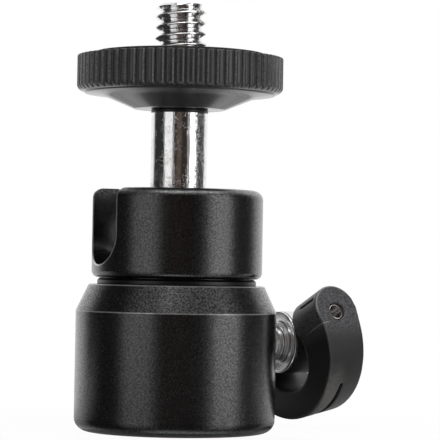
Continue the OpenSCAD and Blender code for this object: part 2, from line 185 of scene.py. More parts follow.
def metalMaterial(name, dark, light, roughness, turned=None, pits=0.0, streak=0.0, face=None, fleck=None):
    # plated or turned metal; turned is the axis (0, 1 or 2) that the tool marks go round, face is
    # where the screw's bare flange face ends along X, and fleck is the side with the worst plating
    material, shader, wire, place = newMaterial(name, {"Metallic": 1.0})
    axes = parts(wire, place)
    cloud = noise(wire, place, 0.7, 3.0)
    fine = noise(wire, place, 9.0, 2.0, 0.6)
    shade = cloud * 0.7 + fine * 0.3
    rough = roughness + 0.05 * (cloud - 0.5)
    height = fine * 0.1
    if turned is not None:
        along = axes[turned]
        if face:
            lifted = axes[2] - screwShape["height"]
            along = along + wire.length(axes[1], lifted)
        ring = wire.node("ShaderNodeTexNoise", {"noise_dimensions": "1D"},
                         {"W": along, "Scale": 3.0 if face else 7.0, "Detail": 3.0})
        height = height + ring * 0.5
        shade = shade * 0.6 + ring * 0.4
        rough = rough + 0.08 * (ring - 0.5)
    if streak:
        run = noise(wire, place, 1.0, 3.0, stretch=(2.6, 2.6, 0.22))
        height = height + run * streak
        rough = rough + 0.05 * run.over(0.5, 0.8)
    rash = None
    if pits:
        dots, rash = platingFlaws(wire, place, axes, fleck)
        height = height - dots * pits * 3.0
    if face:
        bare = axes[0].over(face + 0.06, face - 0.04)
        height = height + bare * ring * 7.0
        # the bare face is lightened and banded ring by ring: painted highlight of the turning marks over
        # their own tone
        shade = shade + bare * (0.3 + 4.0 * (ring - 0.5))
        rough = rough - 0.02 * bare
        wire.plug(shader.inputs["Metallic"], 1 - 0.35 * bare * ring.over(0.35, 0.65))
    colour = shade.over(0.1, 0.8).mixed(dark, light)
    if rash is not None:
        colour = (rash * 0.9).mixed(colour, (0.1, 0.085, 0.075))
    wire.plug(shader.inputs["Base Color"], colour)
    wire.plug(shader.inputs["Roughness"], rough)
    bump(wire, shader, height, 0.004, 0.5)
    return material


def drawOutline(bm, start, moves, closed):
    # a pen in the XY plane: two numbers are a line to that point,
    # four are an arc: centre x, centre y, degrees, steps
    first = here = bm.verts.new((*start, 0))
    for move in moves:
        if len(move) == 2:
            there = bm.verts.new((*move, 0))
            bm.edges.new((here, there))
        else:
            cx, cy, degrees, steps = move
            made = bmesh.ops.spin(bm, geom=[here], cent=(cx, cy, 0), axis=zAxis,
                                  angle=math.radians(degrees), steps=steps)
            there = [v for v in made["geom_last"] if isinstance(v, bmesh.types.BMVert)][0]
        here = there
    if closed:
        bm.edges.new((here, first))


def drawnOut(bm, ring):
    # a new ring of edges from an open one, and its points
    made = bmesh.ops.extrude_edge_only(bm, edges=ring)
    ring = [e for e in made["geom"] if isinstance(e, bmesh.types.BMEdge)]
    return ring, {v for e in ring for v in e.verts}


def tidyMesh(bm, distance=0.0005):
    bmesh.ops.remove_doubles(bm, verts=bm.verts, dist=distance)
    bmesh.ops.dissolve_degenerate(bm, edges=bm.edges, dist=distance)
    bmesh.ops.recalc_face_normals(bm, faces=bm.faces)


def rotate(bm, degrees, axis):
    bmesh.ops.rotate(bm, cent=origin, matrix=Matrix.Rotation(math.radians(degrees), 3, axis), verts=bm.verts)


def transform(bm, matrix):
    bmesh.ops.transform(bm, matrix=matrix, space=Matrix.Identity(4), verts=bm.verts)


def cutAcross(bm, height, side=1, clear=False):
    # cuts square to Z; what lies past the cut can be cleared away
    bmesh.ops.bisect_plane(bm, geom=bm.verts[:] + bm.edges[:] + bm.faces[:], plane_co=(0, 0, height),
                           plane_no=(0, 0, side), clear_outer=clear)


def turnedShape(start, moves, closed=True, steps=192):
    # an outline of radius and height, spun about Z
    bm = bmesh.new()
    drawOutline(bm, start, moves, closed)
    rotate(bm, 90, "X")
    bmesh.ops.spin(bm, geom=bm.verts[:] + bm.edges[:], cent=origin, axis=zAxis,
                   angle=2 * math.pi, steps=steps, use_merge=True)
    tidyMesh(bm)
    return bm


def prismShape(start, moves, low, high):
    # an outline in the XY plane, raised from low to high
    bm = bmesh.new()
    drawOutline(bm, start, moves, True)
    bmesh.ops.translate(bm, vec=(0, 0, low), verts=bm.verts)
    bmesh.ops.remove_doubles(bm, verts=bm.verts, dist=0.0005)
    made = bmesh.ops.edgeloop_fill(bm, edges=bm.edges)
    raised = bmesh.ops.extrude_face_region(bm, geom=made["faces"], use_keep_orig=True)
    top = [v for v in raised["geom"] if isinstance(v, bmesh.types.BMVert)]
    bmesh.ops.translate(bm, vec=(0, 0, high - low), verts=top)
    bmesh.ops.recalc_face_normals(bm, faces=bm.faces)
    return bm


def threadShape(crest, root, pitch, low, high, phase=0.0, steps=72, chamfer=0.0):
    # a threaded rod about Z: one pitch of its profile on a helix, cut off flat at both ends
    bm = bmesh.new()
    start = low - 2 * pitch + phase
    depth = crest - root
    profile = [(0.0, 0.0), (0.11, 0.0), (0.17, 0.1), (0.4, 0.88), (0.45, 0.98), (0.5, 1.0),
               (0.55, 0.98), (0.6, 0.88), (0.83, 0.1), (0.89, 0.0), (1.0, 0.0)]
    points = [(root + depth * rise, start + share * pitch) for share, rise in profile]
    drawOutline(bm, points[0], points[1:], False)
    rotate(bm, 90, "X")
    turns = math.ceil((high - start) / pitch) + 1
    bmesh.ops.spin(bm, geom=bm.verts[:] + bm.edges[:], cent=origin, axis=zAxis,
                   dvec=(0, 0, pitch / steps), angle=2 * math.pi * turns, steps=steps * turns)
    bmesh.ops.remove_doubles(bm, verts=bm.verts, dist=0.001)
    for cut in (high - chamfer, high - chamfer / 2) if chamfer else ():
        cutAcross(bm, cut)
    for cut, side in ((low, -1), (high, 1)):
        cutAcross(bm, cut, side, clear=True)
        rim = [e for e in bm.edges if e.is_boundary and all(abs(v.co.z - cut) < 1e-4 for v in e.verts)]
        bmesh.ops.edgeloop_fill(bm, edges=rim)
    if chamfer:
        for v in bm.verts:
            r = math.hypot(v.co.x, v.co.y)
            most = crest - chamfer + (high - v.co.z)
            if r > most:
                v.co.x *= most / r
                v.co.y *= most / r
    bmesh.ops.recalc_face_normals(bm, faces=bm.faces)
    return bm


def rodShape(radius, low, high):
    return turnedShape((0, low), [(radius, low), (radius, high), (0, high)], closed=False, steps=48)


def alongX(bm, height=0.0):
    # turns a shape made about Z onto +X, at a height
    rotate(bm, 90, "Y")
    bmesh.ops.translate(bm, vec=(0, 0, height), verts=bm.verts)
    return bm


def asObject(name, bm):
    mesh = bpy.data.meshes.new(name)
    bm.to_mesh(mesh)
    bm.free()
    piece = bpy.data.objects.new(name, mesh)
    bpy.context.scene.collection.objects.link(piece)
    return piece


def applyModifiers(piece):
    # the piece's modifiers made part of its mesh
    bpy.context.view_layer.update()
    graph = bpy.context.evaluated_depsgraph_get()
    mesh = bpy.data.meshes.new_from_object(piece.evaluated_get(graph))
    piece.modifiers.clear()
    piece.data = mesh


def combine(piece, tool, operation="DIFFERENCE"):
    cut = piece.modifiers.new("cut", "BOOLEAN")
    cut.object = tool
    cut.operation = operation
    cut.solver = "EXACT"
    applyModifiers(piece)
    bpy.data.objects.remove(tool)


def flatWasher(s, steps):
    # a flat ring with its outer corners broken
    e = s["edge"]
    return turnedShape((s["inner"], s["low"]),
                       [(s["outer"] - e, s["low"]), (s["outer"] - e, s["low"] + e, 90, 3),
                        (s["outer"], s["high"] - e), (s["outer"] - e, s["high"] - e, 90, 3),
                        (s["inner"], s["high"])], steps=steps)


def joinShapes(name, *shapes):
    # closed shapes that overlap, kept as one piece
    whole = bmesh.new()
    for shape in shapes:
        mesh = bpy.data.meshes.new("part")
        shape.to_mesh(mesh)
        whole.from_mesh(mesh)
        bpy.data.meshes.remove(mesh)
        shape.free()
    return asObject(name, whole)


def settle(piece, body, material, nodes, sharp=32, weighted=True):
    # to metres, with its finish, its CAD body and the nodes that it stands for
    mesh = piece.data
    mesh.transform(Matrix.Scale(mm, 4))
    mesh.materials.clear()
    mesh.materials.append(materials[material])
    for face in mesh.polygons:
        face.material_index = 0
        face.use_smooth = True
    mesh.set_sharp_from_angle(angle=math.radians(sharp))
    if weighted:
        shading = piece.modifiers.new("shading", "WEIGHTED_NORMAL")
        shading.keep_sharp = True
    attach(piece, body)
    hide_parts(*nodes)
    print(piece.name, len(mesh.polygons), "faces")


anodised = {
    "dark": (0.0006, 0.0006, 0.0007),
    "light": (0.0022, 0.0021, 0.0024),
    "fleck": (0.04, 0.04, 0.042),
    "wornAndGlint": (0.5, 0.5, 0.51),
    "roughness": 0.25,
    "grain": 5.2,            # grains per millimetre
    "grainDepth": 0.012,     # millimetres
    "film": 0.46,            # how much the film shines on the whole
    "sparkle": 0.56,         # how much its shine varies from grain to grain
    "upperSparkle": 0.94,    # and how much above the upright wall
    "milledDull": 0.7,       # what the notch's milled bottom loses of the shine
}


def notchMarks(wire, x, y, z, radius):
    # the broken edge of the U, where it leaves the collar's outer face, and its milled round
    # bottom, which is duller where it runs out of the straight sides
    s = collarShape
    turn = math.radians(s["notchTurn"])
    along = y * math.cos(turn) + x * math.sin(turn)
    below = wire.math("MINIMUM", z - s["notchHeight"], 0.0)
    away = wire.length(along, below)
    above = wire.math("MAXIMUM", z - (s["top"] - s["topRound"]), 0.0)
    room = wire.math("MAXIMUM", s["topRound"] ** 2 - above * above, 0.0)
    depth = s["radius"] - s["topRound"] + wire.math("SQRT", room) - radius
    # the rim line along the broken edge is lightened: partly worn film, partly a painted highlight
    rim = away.line(s["notch"] + s["rimOut"], s["rimHalf"]) * depth.over(0.2, 0.1) * (0 - x).over(4.0, 6.0)
    milled = depth.over(0.2, 0.5) * below.line(-1.2, 1.2)
    return rim * s["rimWearAndGlint"], milled


def anodisedMaterial(name, shape, notched=False):
    # bead-blasted aluminium with a black anodic film; the shape's worn and glinting edges are heights, radii,
    # half widths and strengths of the lines where the film is worn thin and a highlight is painted on, and
    # the grain is coarser above wallTop
    material, shader, wire, place = newMaterial(name, {"IOR": 1.45, "Coat IOR": 1.85, "Coat Roughness": 0.25})
    x, y, z = parts(wire, place)
    radius = wire.length(x, y)
    grain = noise(wire, place, anodised["grain"], 1.0, 0.6)
    fleck = noise(wire, place, anodised["grain"] * 1.7, 1.0).over(0.62, 0.78)
    patch = noise(wire, place, 0.16, 3.0)
    scuff = noise(wire, place, 1.4, 3.0).over(0.35, 0.7)
    wearAndGlint = milled = 0.0
    for height, across, half, strength in shape["wornAndGlint"]:
        wearAndGlint = wire.math("MAXIMUM", wearAndGlint, z.line(height, half) * radius.line(across, 2 * half) * strength)
    if notched:
        rim, milled = notchMarks(wire, x, y, z, radius)
        wearAndGlint = wire.math("MAXIMUM", wearAndGlint, rim)
    wearAndGlint = wearAndGlint * (0.55 + 0.45 * scuff)
    colour = (grain * 0.7 + patch * 0.3).over(0.3, 0.75).mixed(anodised["dark"], anodised["light"])
    colour = (fleck * 0.12).mixed(colour, anodised["fleck"])
    # the edge lines are lightened: partly worn film, partly a painted highlight
    colour = wearAndGlint.mixed(colour, anodised["wornAndGlint"])
    upper = z.over(shape["wallTop"] - 0.1, shape["wallTop"] + 0.1)
    coarse = 1 + (anodised["upperSparkle"] / anodised["sparkle"] - 1) * upper
    film = anodised["film"] + (grain.over(0.36, 0.64) - 0.5) * anodised["sparkle"] * coarse
    rough = anodised["roughness"] + 0.1 * (grain - 0.5) + 0.06 * (patch - 0.5) - 0.1 * fleck
    wire.plug(shader.inputs["Base Color"], colour)
    wire.plug(shader.inputs["Metallic"], wearAndGlint * 0.8)
    wire.plug(shader.inputs["Coat Weight"], film * (1 - anodised["milledDull"] * milled))
    wire.plug(shader.inputs["Roughness"], rough)
    bump(wire, shader, grain + fleck * 0.4, anodised["grainDepth"], 0.6)
    return material


bodyShape = {
    "radius": 12.0, "footRound": 1.6, "wallTop": 14.3, "edge": 0.1,
    "coneTop": 17.5, "coneRadius": 10.5,
    "socket": 8.95, "groove": 9.3, "grooveLow": 15.85, "grooveHigh": 16.55,
    "socketFloor": 14.8, "chamber": 6.9, "chamberFloor": 7.0,
    "insertHole": 4.6, "insertTop": 6.4, "bushHole": 3.2, "bushChamfer": 0.2,
    "screwHeight": 10.6, "mouth": 0.15, "boreFrom": 4.0, "boreTo": 14.0,
    # edge lines, each height, radius, half width and strength: worn film with a painted highlight
    "wornAndGlint": [(14.3, 12.0, 0.1, 0.85), (17.47, 10.46, 0.13, 1.0)],
}


def makeBody():
    b = bodyShape
    slope = math.atan2(b["radius"] - b["coneRadius"], b["coneTop"] - b["wallTop"])
    e = b["edge"]
    bm = turnedShape(
        (0, b["insertTop"]),
        [
            (b["insertHole"], b["insertTop"]),
            (b["insertHole"], b["mouth"]),
            (b["insertHole"] + b["mouth"], 0),
            (b["radius"] - b["footRound"], 0),
            (b["radius"] - b["footRound"], b["footRound"], 90, 14),
            (b["radius"], b["wallTop"] - e),
            (b["radius"] - e * math.sin(slope), b["wallTop"] + e * math.cos(slope)),
            (b["coneRadius"] + e * math.sin(slope), b["coneTop"] - e * math.cos(slope)),
            (b["coneRadius"] - e, b["coneTop"]),
            (b["socket"], b["coneTop"]),
            (b["socket"], b["grooveHigh"]),
            (b["groove"], b["grooveHigh"]),
            (b["groove"], b["grooveLow"]),
            (b["socket"], b["grooveLow"]),
            (b["socket"], b["socketFloor"]),
            (b["chamber"], b["socketFloor"]),
            (b["chamber"], b["chamberFloor"]),
            (0, b["chamberFloor"]),
        ], closed=False)
    piece = asObject("bodyTurned", bm)
    # the lock screw's hole through the wall, widened at its mouth
    r, c = b["bushHole"], b["bushChamfer"]
    face = math.sqrt(b["radius"] ** 2 - r * r)
    bore = turnedShape((0, b["boreFrom"]),
                       [(r, b["boreFrom"]), (r, face - c), (r + 3 * c, face + 2 * c),
                        (r + 3 * c, b["boreTo"]), (0, b["boreTo"])], closed=False, steps=96)
    bore = asObject("bore", alongX(bore, b["screwHeight"]))
    combine(piece, bore)
    settle(piece, "body", "body", ["body_shell"])


materials["body"] = anodisedMaterial("bodyAnodised", bodyShape)
makeBody()

insertShape = {
    "outer": 4.59, "top": 6.38, "edge": 0.15, "minor": 2.6, "major": 3.14, "pitch": 1.27,
    "past": 0.6, "mouthWide": 0.75, "mouthDeep": 0.65,
}


def makeInsert():
    s = insertShape
    bm = turnedShape((0, 0), [(s["outer"] - s["edge"], 0), (s["outer"], s["edge"]),
                              (s["outer"], s["top"]), (0, s["top"])], closed=False, steps=96)
    piece = asObject("baseInsert", bm)
    rod = threadShape(s["major"], s["minor"], s["pitch"], -s["past"], s["top"] + s["past"], steps=60)
    combine(piece, asObject("rod", rod))
    mouth = turnedShape((0, -0.5), [(s["major"] + s["mouthWide"], -0.5), (s["minor"] - 0.25, s["mouthDeep"]),
                                    (0, s["mouthDeep"])], closed=False, steps=96)
    combine(piece, asObject("mouth", mouth))
    settle(piece, "body", "steel", ["base_insert"])


materials["steel"] = metalMaterial("turnedSteel", (0.36, 0.36, 0.37), (0.58, 0.58, 0.6), 0.28, turned=2)
makeInsert()

washerShape = {
    "inner": 8.95, "outer": 9.5, "low": 17.5, "high": 18.25, "edge": 0.1,
    "fall": 0.26, "browIn": 0.06, "browUp": 0.04,
}


def makeCollarWasher():
    s = washerShape
    e = s["edge"]
    bm = turnedShape((s["inner"], s["low"]),
                     [(s["outer"] - e, s["low"]), (s["outer"] - e, s["low"] + e, 90, 4),
                      (s["outer"], s["high"] - s["fall"]),
                      (s["outer"] - s["browIn"], s["high"] - s["fall"] + s["browUp"]),
                      (s["outer"] - s["fall"], s["high"]), (s["inner"], s["high"])])
    settle(asObject("collarWasher", bm), "body", "nylon", ["collar_washer"])


materials["nylon"] = nylonMaterial("darkNylon", (0.0012, 0.0012, 0.0013), (0.003, 0.003, 0.0032), 0.36, 4.0)
makeCollarWasher()
print("body done")


collarShape = {
    "radius": 10.2, "low": 18.3, "top": 28.9, "topRound": 1.2, "lowRound": 0.8,
    "spigot": 8.9, "spigotLow": 15.0, "groove": 8.25, "grooveLow": 15.85, "grooveHigh": 16.55,
    "bore": 6.9, "seat": 26.6, "lip": 5.96, "lipTop": 7.11, "lipEdge": 0.12,
    "notch": 3.6, "notchHeight": 23.4, "notchReach": 7.0, "notchEdge": 0.1, "notchTurn": 8.0,
    # the notch rim's line and the top rounding's line: worn film with a painted highlight
    "rimOut": 0.07, "rimHalf": 0.2, "rimWearAndGlint": 1.3, "wallTop": 28.0, "wornAndGlint": [(28.42, 9.9, 0.42, 0.22)],
}


def notchCutter():
    # the U of the notch, flared where it leaves the collar so that its edge is broken
    s = collarShape
    reach, roundFrom = s["notchReach"], s["top"] - s["topRound"]
    bm = bmesh.new()
    drawOutline(bm, (s["notch"], reach), [(s["notch"], 0), (0, 0, -180, 48), (-s["notch"], reach)], True)
    bmesh.ops.remove_doubles(bm, verts=bm.verts, dist=0.0005)
    sides = [e for e in bm.edges if abs(e.verts[0].co.y - e.verts[1].co.y) > 5]
    bmesh.ops.subdivide_edges(bm, edges=sides, cuts=40)
    # outline x becomes y, outline y becomes z
    transform(bm, Matrix(((0, 0, 1), (1, 0, 0), (0, 1, 0))))
    back = bmesh.ops.edgeloop_fill(bm, edges=bm.edges)["faces"]
    layer = back
    # layers from inside the collar outwards: where each lies past the broken edge, and its flare
    for past, flare in ((-0.35, 0), (0, 0), (0.45, 0.45), (2.0, 0)):
        raised = bmesh.ops.extrude_face_region(bm, geom=layer)
        if layer is not back:
            bmesh.ops.delete(bm, geom=layer, context="FACES_ONLY")
        layer = [f for f in raised["geom"] if isinstance(f, bmesh.types.BMFace)]
        for v in {v for f in layer for v in f.verts}:
            r = s["radius"]
            up = v.co.z + s["notchHeight"] - roundFrom
            if up > 0:
                r = r - s["topRound"] + math.sqrt(max(s["topRound"] ** 2 - up ** 2, 0))
            r = r - s["notchEdge"] + past
            if flare:
                v.co += Vector((0, v.co.y, min(v.co.z, 0))).normalized() * flare
            v.co.x = -math.sqrt(max(r * r - v.co.y ** 2, 1))
    bmesh.ops.translate(bm, vec=(0, 0, s["notchHeight"]), verts=bm.verts)
    rotate(bm, -s["notchTurn"], "Z")
    bmesh.ops.recalc_face_normals(bm, faces=bm.faces)
    return asObject("notchCutter", bm)


def makeCollar():
    s = collarShape
    e = s["lipEdge"]
    bm = turnedShape(
        (s["bore"], s["spigotLow"]),
        [
            (s["spigot"], s["spigotLow"]),
            (s["spigot"], s["grooveLow"]),
            (s["groove"], s["grooveLow"]),
            (s["groove"], s["grooveHigh"]),
            (s["spigot"], s["grooveHigh"]),
            (s["spigot"], s["low"]),
            (s["radius"] - s["lowRound"], s["low"]),
            (s["radius"] - s["lowRound"], s["low"] + s["lowRound"], 90, 10),
            (s["radius"], s["top"] - s["topRound"]),
            (s["radius"] - s["topRound"], s["top"] - s["topRound"], 90, 14),
            (s["lipTop"] + e, s["top"]),
            (s["lipTop"] - 0.5 * e, s["top"] - e),
            (s["lip"], s["seat"]),
            (s["bore"], s["seat"]),
        ])
    piece = asObject("collarTurned", bm)
    combine(piece, notchCutter())
    settle(piece, "collar", "collar", ["collar"])


materials["collar"] = anodisedMaterial("collarAnodised", collarShape, notched=True)
makeCollar()
print("collar done")


stemShape = {
    "ball": 6.5, "ballHeight": 23.4, "stem": 3.38, "flare": 0.12, "flareEnds": [(0.03, 0.12), (0, 0.3)],
    "shoulder": 38.1, "shoulderEdge": 0.08, "core": 2.9, "coreTop": 44.6,
    "stud": 3.1, "root": 2.47, "pitch": 1.27, "threadLow": 44.35, "top": 51.1, "tipChamfer": 0.55,
    "threadPhase": 0.223,
}


def makeStem():
    s = stemShape
    bm = bmesh.new()
    bmesh.ops.create_uvsphere(bm, u_segments=128, v_segments=64, radius=s["ball"])
    foot = s["stem"] + s["flare"]
    cut = math.sqrt(s["ball"] ** 2 - foot ** 2)
    cutAcross(bm, cut, clear=True)
    rim = [e for e in bm.edges if e.is_boundary]
    shoulder = s["shoulder"] - s["ballHeight"]
    core = s["coreTop"] - s["ballHeight"]
    edge = s["shoulderEdge"]
    flares = [(s["stem"] + out, cut + up) for out, up in s["flareEnds"]]
    for r, z in (*flares, (s["stem"], shoulder - edge), (s["stem"] - edge, shoulder), (s["core"], shoulder),
                 (s["core"], core)):
        rim, points = drawnOut(bm, rim)
        for v in points:
            now = math.hypot(v.co.x, v.co.y)
            v.co = Vector((v.co.x * r / now, v.co.y * r / now, z))
    bmesh.ops.edgeloop_fill(bm, edges=rim)
    bmesh.ops.translate(bm, vec=(0, 0, s["ballHeight"]), verts=bm.verts)
    tidyMesh(bm)
    stud = threadShape(s["stud"], s["root"], s["pitch"], s["threadLow"], s["top"], s["threadPhase"],
                       steps=96, chamfer=s["tipChamfer"])
    settle(joinShapes("ballStem", bm, stud), "head", "chrome", ["ball_stem"], sharp=40)


materials["chrome"] = metalMaterial("chromePlate", (0.68, 0.67, 0.66), (0.93, 0.93, 0.94), 0.06, pits=1.6,
                                    streak=9.0, fleck=-74.0)
makeStem()

stemWasherShape = {"inner": 2.9, "outer": 3.42, "low": 38.1, "high": 38.45, "edge": 0.06}
stemWasher = asObject("stemWasher", flatWasher(stemWasherShape, 96))
settle(stemWasher, "head", "nylon", ["stem_washer"])
print("stem done")


plastic = {
    "dark": (0.0045, 0.0045, 0.0047),
    "light": (0.0095, 0.0095, 0.0098),
    "scuffed": (0.035, 0.035, 0.036),
    "skinDepth": 0.006,      # millimetres
}


def plasticMaterial(name, shape):
    # moulded black plastic with a fine spark-eroded skin; what comes back can be added to
    material, shader, wire, place = newMaterial(name, {"IOR": shape["ior"]})
    skin = noise(wire, place, 5.5, 2.0, 0.6)
    cloud = noise(wire, place, 0.35, 3.0)
    scuff = noise(wire, place, 1.1, 2.0, stretch=(1, 0.25, 2.0)).over(0.62, 0.8)
    dark, light = ([c * shape["lift"] for c in plastic[k]] for k in ("dark", "light"))
    colour = (skin * 0.5 + cloud * 0.5).over(0.3, 0.7).mixed(dark, light)
    colour = (scuff * 0.25).mixed(colour, plastic["scuffed"])
    rough = shape["roughness"] + 0.1 * (cloud - 0.5) + 0.08 * (skin - 0.5) + 0.06 * scuff
    return material, shader, wire, place, skin, cloud, colour, rough


def finishPlastic(shader, wire, colour, rough, depth):
    wire.plug(shader.inputs["Base Color"], colour)
    wire.plug(shader.inputs["Roughness"], rough)
    bump(wire, shader, depth, plastic["skinDepth"], 0.5)


discShape = {
    "radius": 12.34, "ribs": 65, "perRib": 14, "gap": 0.4, "depth": 0.4, "crown": 0.05,
    "floorShare": 0.45, "shoulderShare": 1.6, "shoulderPower": 1.3,
    "top": 44.8, "topEdge": 0.14, "land": 0.75, "bore": 3.15, "bush": 4.65, "bushLow": 38.75,
    "recess": 44.25, "recessRadius": 10.2, "recessEdge": 0.08,
    "roughness": 0.36, "ior": 1.6, "lift": 2.6,      # lift is how much lighter it is than the handle
    # the rib-edge colour is a painted highlight, and the colour under the rim is painted shade
    "paintedSheen": (0.2, 0.2, 0.197), "smooth": (0.002, 0.002, 0.002), "smoothFrom": (41.0, 40.6),
    "dullAndShadedTowards": -122.0,
    # radius and height down the rounded rim, over the step and the shallow ring, to the foot
    "under": [
        (12.34, 41.22), (12.31, 41.05), (12.22, 40.86), (12.06, 40.69), (11.86, 40.56), (11.62, 40.47),
        (11.46, 40.44), (11.43, 40.41), (11.42, 40.33), (11.37, 40.3), (11.1, 40.26), (9.95, 40.13),
        (9.86, 40.115), (9.5, 40.06), (9.1, 39.985), (8.75, 39.87), (8.4, 39.73), (5.6, 38.57),
        (5.5, 38.52), (5.35, 38.5),
    ],
}


def discMaterial():
    # painted highlight along the edges of the ribs, and painted shade under the rim, where it is also
    # smoother
    s = discShape
    material, shader, wire, place, skin, cloud, colour, rough = plasticMaterial("discPlastic", s)
    x, y, z = parts(wire, place)
    under = z.over(*s["smoothFrom"])
    angle = wire.math("ARCTAN2", y, x)
    share = wire.math("FRACT", angle * (s["ribs"] / (2 * math.pi)) + s["ribs"])
    speck = noise(wire, place, 6.0, 2.0, 0.7)
    paintedSheen = abs(share - 0.5).line(0.2, 0.11) * (0.25 + speck.over(0.35, 0.65)) * (1 - under)
    # the rib edges are lightened: painted highlight
    colour = (paintedSheen * 0.9).mixed(colour, s["paintedSheen"])
    # the colour under the rim is painted shade, deeper towards one side, where it is also rougher
    dullAndShaded = angle.line(math.radians(s["dullAndShadedTowards"]), 0.95).over(0.2, 0.7)
    colour = (under * (0.4 + 0.5 * dullAndShaded)).mixed(colour, s["smooth"])
    depth = (skin * 0.6 + cloud) * (1 - 0.8 * under)
    finishPlastic(shader, wire, colour, rough - under * (0.2 - 0.3 * dullAndShaded), depth)
    return material


def ribRadius(angle):
    # radius of the ribbed rim: a narrow groove with rounded shoulders between wide ribs
    s = discShape
    pitch = 2 * math.pi / s["ribs"]
    away = abs((angle / pitch) % 1 - 0.5) * pitch * s["radius"]
    half = s["gap"] / 2
    share = min(max((away - half * s["floorShare"]) / (half * s["shoulderShare"]), 0), 1)
    crown = s["crown"] * (1 - min(away / (0.5 * pitch * s["radius"]), 1)) ** 2
    return s["radius"] - crown - s["depth"] * (1 - math.sin(share * math.pi / 2) ** s["shoulderPower"])


def makeDisc():
    s = discShape
    bm = bmesh.new()
    made = bmesh.ops.create_circle(bm, segments=s["ribs"] * s["perRib"], radius=s["bush"])
    bmesh.ops.translate(bm, vec=(0, 0, s["recess"]), verts=made["verts"])
    ring = bm.edges[:]
    e, lip = s["topEdge"], s["recessEdge"]
    levels = [
        (s["recessRadius"], s["recess"]), (s["recessRadius"], s["top"] - lip),
        (s["recessRadius"] + lip, s["top"]), (s["radius"] - s["land"], s["top"]),
        (s["radius"] - e, s["top"]), (s["radius"] - 0.3 * e, s["top"] - 0.35 * e),
        (s["radius"], s["top"] - e), *s["under"],
        (s["bore"], s["under"][-1][1]), (s["bore"], s["bushLow"]), (s["bush"], s["bushLow"]),
    ]
    for r, z in levels:
        ring, points = drawnOut(bm, ring)
        for v in points:
            angle = math.atan2(v.co.y, v.co.x)
            least = min(r, ribRadius(angle))
            v.co = Vector((least * math.cos(angle), least * math.sin(angle), z))
    bottom = [g for g in bm.edges if g.is_boundary]
    bmesh.ops.bridge_loops(bm, edges=bottom)
    tidyMesh(bm)
    settle(asObject("ribbedDisc", bm), "disc", "disc", ["disc"], sharp=38, weighted=False)


materials["disc"] = discMaterial()
makeDisc()

padShape = {"inner": 3.5, "outer": 10.18, "low": 44.25, "high": 45.25, "edge": 0.12}


def makePad():
    s = padShape
    e = s["edge"]
    bm = turnedShape((s["inner"], s["low"]),
                     [(s["outer"], s["low"]), (s["outer"], s["high"] - e),
                      (s["outer"] - e, s["high"] - e, 90, 5), (s["inner"] + e, s["high"]),
                      (s["inner"] + e, s["high"] - e, 90, 5)])
    settle(asObject("discPad", bm), "disc", "pad", ["disc_pad"])


materials["pad"] = nylonMaterial("padRubber", (0.012, 0.012, 0.012), (0.03, 0.03, 0.03), 0.75, 2.2)
makePad()
print("disc done")


screwShape = {
    "height": 10.6, "turn": 25.0, "lean": 12.0,
    "flangeFace": 14.8, "hub": 3.8, "flange": 0.3, "rimRound": 0.17, "dish": 0.16, "faceEnd": 15.05,
    "grooveWidth": 0.16, "grooveDepth": 0.4, "boss": 0.24, "bossOut": 0.06, "bossEdge": 0.04,
    "neck": 0.2, "neckLow": 0.8, "hubEnd": 19.7, "chamfer": 0.3, "centre": 0.5, "centreDepth": 0.25,
    "pinAt": 17.35, "pin": 1.0, "thread": 2.5, "threadRoot": 2.05, "pitch": 0.8, "threadFrom": 4.45,
    "noseFrom": 2.9, "nose": 1.1,
    "overlap": 0.5,          # how far the thread runs into the head and the nose
}


def pinFrame(lean=0.0):
    # x along the pin, y up the handle's arms, z away from the body
    s = screwShape
    return (Matrix.Translation((s["pinAt"], 0, s["height"]))
            @ Matrix.Rotation(math.radians(-s["turn"]), 4, "X")
            @ Matrix.Rotation(math.pi / 2, 4, "Z") @ Matrix.Rotation(math.pi / 2, 4, "X")
            @ Matrix.Rotation(math.radians(-lean), 4, "X"))


def alongPin(bm, side=1):
    # turns a shape made about Z onto the pin's line; side -1 is its other end
    rotate(bm, side * 90, "Y")
    transform(bm, pinFrame())
    return bm


def makeLockScrew():
    s = screwShape
    face = s["flangeFace"]
    back = face + s["flange"]
    neck = s["threadRoot"] + s["neck"]
    boss = s["thread"] + s["bossOut"]
    rim = s["hub"] - s["rimRound"]
    bm = turnedShape(
        (0, face - s["neckLow"]),
        [
            (neck, face - s["neckLow"]),
            (neck, face - s["boss"]),
            (boss - s["bossOut"] / 2, face - s["boss"]),
            (boss, face - s["boss"] + s["bossEdge"]),
            (boss, face + s["dish"]),
            (rim, face),
            (rim, face + s["rimRound"], 90, 5),
            (s["hub"], back),
            (s["hub"] - s["grooveDepth"], back),
            (s["hub"] - s["grooveDepth"], back + s["grooveWidth"]),
            (s["hub"], back + s["grooveWidth"]),
            (s["hub"], s["hubEnd"] - s["chamfer"]),
            (s["hub"] - s["chamfer"], s["hubEnd"]),
            (s["centre"], s["hubEnd"]),
            (0, s["hubEnd"] - s["centreDepth"]),
        ], closed=False, steps=128)
    head = asObject("lockHead", alongX(bm, s["height"]))
    combine(head, asObject("bore", alongPin(rodShape(s["pin"] + 0.02, -6, 6))))
    rod = threadShape(s["thread"], s["threadRoot"], s["pitch"], s["threadFrom"], face - s["overlap"],
                      steps=60)
    nose = rodShape(s["nose"], s["noseFrom"], s["threadFrom"] + s["overlap"])
    whole = bmesh.new()
    whole.from_mesh(head.data)
    bpy.data.objects.remove(head)
    piece = joinShapes("lockScrew", whole, *(alongX(shape, s["height"]) for shape in (rod, nose)))
    settle(piece, "lock_screw", "screwChrome", ["lock_screw"])


materials["screwChrome"] = metalMaterial("screwChrome", (0.62, 0.62, 0.62), (0.86, 0.86, 0.87), 0.2, turned=0,
                                         pits=0.3, face=screwShape["faceEnd"])
makeLockScrew()

